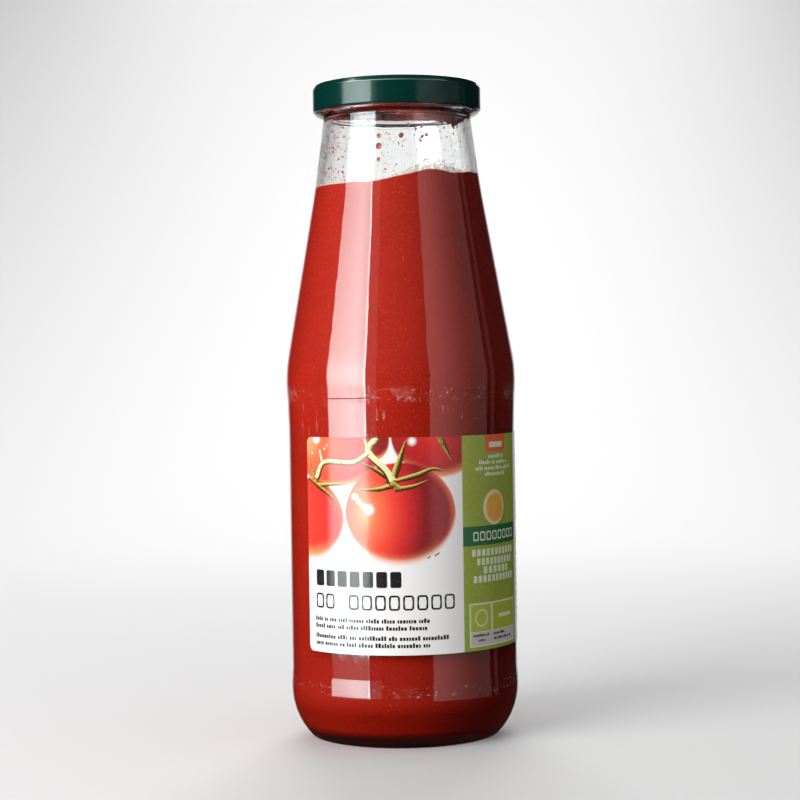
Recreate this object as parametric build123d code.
from build123d import *
import os

# A tall glass bottle of tomato passata with a twist-off metal lid and a wrap-round paper label.
# Millimetres. +Z runs up the axis, the origin is the centre of the ring the bottle stands on,
# and the label's picture faces -Y. Angles go round the axis from the front towards +X.

# Glass, outside: foot, curved heel, flared band, label panel, creased shoulder and neck
foot_radius = 31.95
foot_blend = 1.4
foot_ring_inner = 30.0
foot_ring_step = 0.7
push_up = 5.6
crown_flat = 6.0
crown_blend = 25.0
heel_height = 7.7
heel_blend = 23.5
band_radius = 38.45
band_z = 17.3
panel_radius = 38.12
panel_bottom = 22.8
panel_top = 102.5
band_blend = 8.0
flare_blend = 40.0
crease_radius = 38.46
crease_z = 114.2
crease_blend = 3.0
shoulder_radius = 39.09
shoulder_z = 121.15
shoulder_blend = 50.0
neck_radius = 27.85
neck_z = 184.5
neck_blend = 300.0
collar_radius = 24.75
collar_z = 207.3

# Glass, inside
wall = 2.3
floor_z = 4.0
floor_radius = 29.5
floor_crown = 5.6
floor_blend = 4.0
inner_heel_rise = 9.0
inner_heel_blend = 8.0
bore_radius = 22.3

# Glass finish: the carrying bead, and the wall with its thread leads
bead_radius = 27.5
bead_z = 208.7
bead_top = 209.1
bead_crown = 0.25
finish_radius = 25.0
rim_blend = 0.9
thread_count = 4
thread_angle = 62.0
thread_tilt = 4.5
thread_radius = 26.4
thread_half_height = 1.2
thread_half_crest = 0.3
thread_z = 213.6

# Lid: pressed steel, with a raised sealing channel and a sunk centre and button
lid_radius = 28.3
lid_bottom = 209.4
lid_top = 218.5
lid_wall = 0.3
lid_shoulder_width = 0.9
lid_shoulder_height = 1.7
lid_blend = 0.7
channel_radius = 21.0
panel_drop = 1.0
button_radius = 9.0
button_drop = 0.4
press_slope = 1.0
curl_radius = 0.65
lug_count = 4
lug_angle = 22.8
lug_first = 24.0
lug_inner = 25.6
lug_lift = 0.1
lug_top = 211.2
lug_blend = 0.4
dent_depth = 0.55
dent_height = 2.4

# Contents: the level on the axis and its slope in degrees, low on the left
level = 185.8
level_slope = 4.6

# Label: paper wrap
label_bottom = 31.2
label_height = 70.0
label_thickness = 0.12
label_corner = 2.0
label_from = -54.0
label_to = 200.0

rim_z = lid_top - lid_wall
panel_z = lid_top - panel_drop
button_z = panel_z - button_drop
overshoot = 5.0


def half_section(corners):
    """Face beside the axis; each corner is a radius, a height and the radius that rounds it."""
    points = [(radius, z) for radius, z, _ in corners]
    blends = [blend for _, _, blend in corners]
    return Plane.XZ * make_face(FilletPolyline(*points, radius=blends, close=True))


def turned(*corners):
    """Full solid of revolution."""
    return revolve(half_section(corners), Axis.Z)


def ring_piece(angle, *corners):
    """Stretch of a turned ring, centred on the front."""
    return Rot(0, 0, -90 - angle / 2) * revolve(half_section(corners), Axis.Z, angle)


def repeated(piece, count, first=0.0):
    """Copies of a piece, evenly spaced round the axis."""
    return [Rot(0, 0, first + number * 360 / count) * piece for number in range(count)]


def glass_envelope():
    """The bottle's outer form, as if it were solid glass."""
    return turned(
        (0, 0, 0),
        (foot_radius, 0, foot_blend),
        (band_radius, heel_height, heel_blend),
        (band_radius, band_z, band_blend),
        (panel_radius, panel_bottom, band_blend),
        (panel_radius, panel_top, flare_blend),
        (crease_radius, crease_z, crease_blend),
        (shoulder_radius, shoulder_z, shoulder_blend),
        (neck_radius, neck_z, neck_blend),
        (collar_radius, collar_z, 1.0),
        (bead_radius, bead_z, 0.2),
        (bead_radius, bead_top, 0.2),
        (finish_radius, bead_top + bead_crown, 0.3),
        (finish_radius, rim_z, rim_blend),
        (0, rim_z, 0),
    )


def cavity():
    """The space inside the glass, carried on past the rim so that it cuts the mouth open."""
    return turned(
        (0, floor_z + floor_crown, 0),
        (crown_flat, floor_z + floor_crown, crown_blend),
        (floor_radius, floor_z, floor_blend),
        (panel_radius - wall, floor_z + inner_heel_rise, inner_heel_blend),
        (panel_radius - wall, panel_top, flare_blend),
        (shoulder_radius - wall, shoulder_z, shoulder_blend - wall),
        (neck_radius - wall, neck_z, neck_blend),
        (bore_radius, collar_z, 6.0),
        (bore_radius, rim_z + overshoot, 0),
        (0, rim_z + overshoot, 0),
    )


def foot_hollow():
    """The push-up under the base, which leaves a narrow ring to stand on."""
    return turned(
        (0, -overshoot, 0),
        (foot_ring_inner, -overshoot, 0),
        (foot_ring_inner, 0, 0),
        (foot_ring_inner - foot_ring_step, foot_ring_step, 1.0),
        (crown_flat, push_up, crown_blend),
        (0, push_up, 0),
    )


def threads():
    """Short raised leads, each a little tilted, that the lid's lugs run under."""
    root = finish_radius - 0.4
    lead = ring_piece(
        thread_angle,
        (root, -thread_half_height, 0),
        (thread_radius, -thread_half_crest, thread_half_crest),
        (thread_radius, thread_half_crest, thread_half_crest),
        (root, thread_half_height, 0),
    )
    return repeated(Pos(0, 0, thread_z) * Rot(0, thread_tilt, 0) * lead, thread_count)


def glass_bottle():
    return glass_envelope() - cavity() - foot_hollow() + threads()


def passata():
    """The sauce fills the cavity up to a level that slopes gently from left to right."""
    centred_below = (Align.CENTER, Align.CENTER, Align.MAX)
    block = Box(3 * band_radius, 3 * band_radius, 2 * level, align=centred_below)
    return cavity() & (Pos(0, 0, level) * Rot(0, -level_slope, 0) * block)


def lid_shell():
    """Skirt, rounded shoulder, channel, panel and button, the same wall all through."""
    shoulder_z = lid_top - lid_shoulder_height
    channel_foot = channel_radius - press_slope
    button_edge = button_radius + press_slope
    return turned(
        (0, button_z, 0),
        (button_radius, button_z, lid_blend),
        (button_edge, panel_z, lid_blend),
        (channel_foot, panel_z, lid_blend),
        (channel_radius, lid_top, lid_blend),
        (lid_radius - lid_shoulder_width, lid_top, lid_blend),
        (lid_radius, shoulder_z, 1.2),
        (lid_radius, lid_bottom, 0),
        (lid_radius - lid_wall, lid_bottom, 0),
        (lid_radius - lid_wall, shoulder_z - 0.1, 0.9),
        (lid_radius - lid_shoulder_width - 0.2, lid_top - lid_wall, 0.4),
        (channel_radius + 0.2, lid_top - lid_wall, 0.4),
        (channel_foot + 0.2, panel_z - lid_wall, 0.4),
        (button_edge + 0.1, panel_z - lid_wall, lid_blend),
        (button_radius + 0.1, button_z - lid_wall, lid_blend),
        (0, button_z - lid_wall, 0),
    )


def curl():
    """The rolled lower edge of the lid."""
    inset = curl_radius + 0.05
    centre = Plane.XZ * Pos(lid_radius - inset, lid_bottom + curl_radius)
    return revolve(centre * Circle(curl_radius), Axis.Z)


def lug():
    """An inward tongue of the curl that holds the lid under a thread."""
    back = lid_radius - 0.1
    return ring_piece(
        lug_angle,
        (lug_inner, lid_bottom + lug_lift, lug_blend),
        (back, lid_bottom + lug_lift, 0),
        (back, lug_top, 0),
        (lug_inner, lug_top, lug_blend),
    )


def dent():
    """Cutter for the flat arched press mark that each lug leaves at the foot of the skirt."""
    lean = Vector(dent_height, dent_depth).get_angle(Vector(1, 0))
    block = Box(20, 6, 8, align=(Align.CENTER, Align.MAX, Align.CENTER))
    return Pos(0, dent_depth - lid_radius, lid_bottom) * Rot(lean, 0, 0) * block


def lid():
    cap = lid_shell() + curl() + repeated(lug(), lug_count, lug_first)
    return cap - repeated(dent(), lug_count, lug_first)


def label():
    """A thin wrap in the recessed panel, with its four corners rounded."""
    outer = panel_radius + label_thickness
    top = label_bottom + label_height
    edge_section = half_section([
        (panel_radius, label_bottom, 0),
        (outer, label_bottom, 0),
        (outer, top, 0),
        (panel_radius, top, 0),
    ])
    wrap = revolve(edge_section, Axis.Z, label_to - label_from)
    through = [edge for edge in wrap.edges() if edge.length < 2 * label_thickness]
    return Rot(0, 0, label_from - 90) * fillet(through, label_corner)


os.makedirs("parts", exist_ok=True)
export_step(glass_bottle(), "parts/glass_bottle.step")
export_step(passata(), "parts/passata.step")
export_step(lid(), "parts/lid.step")
export_step(label(), "parts/label.step")
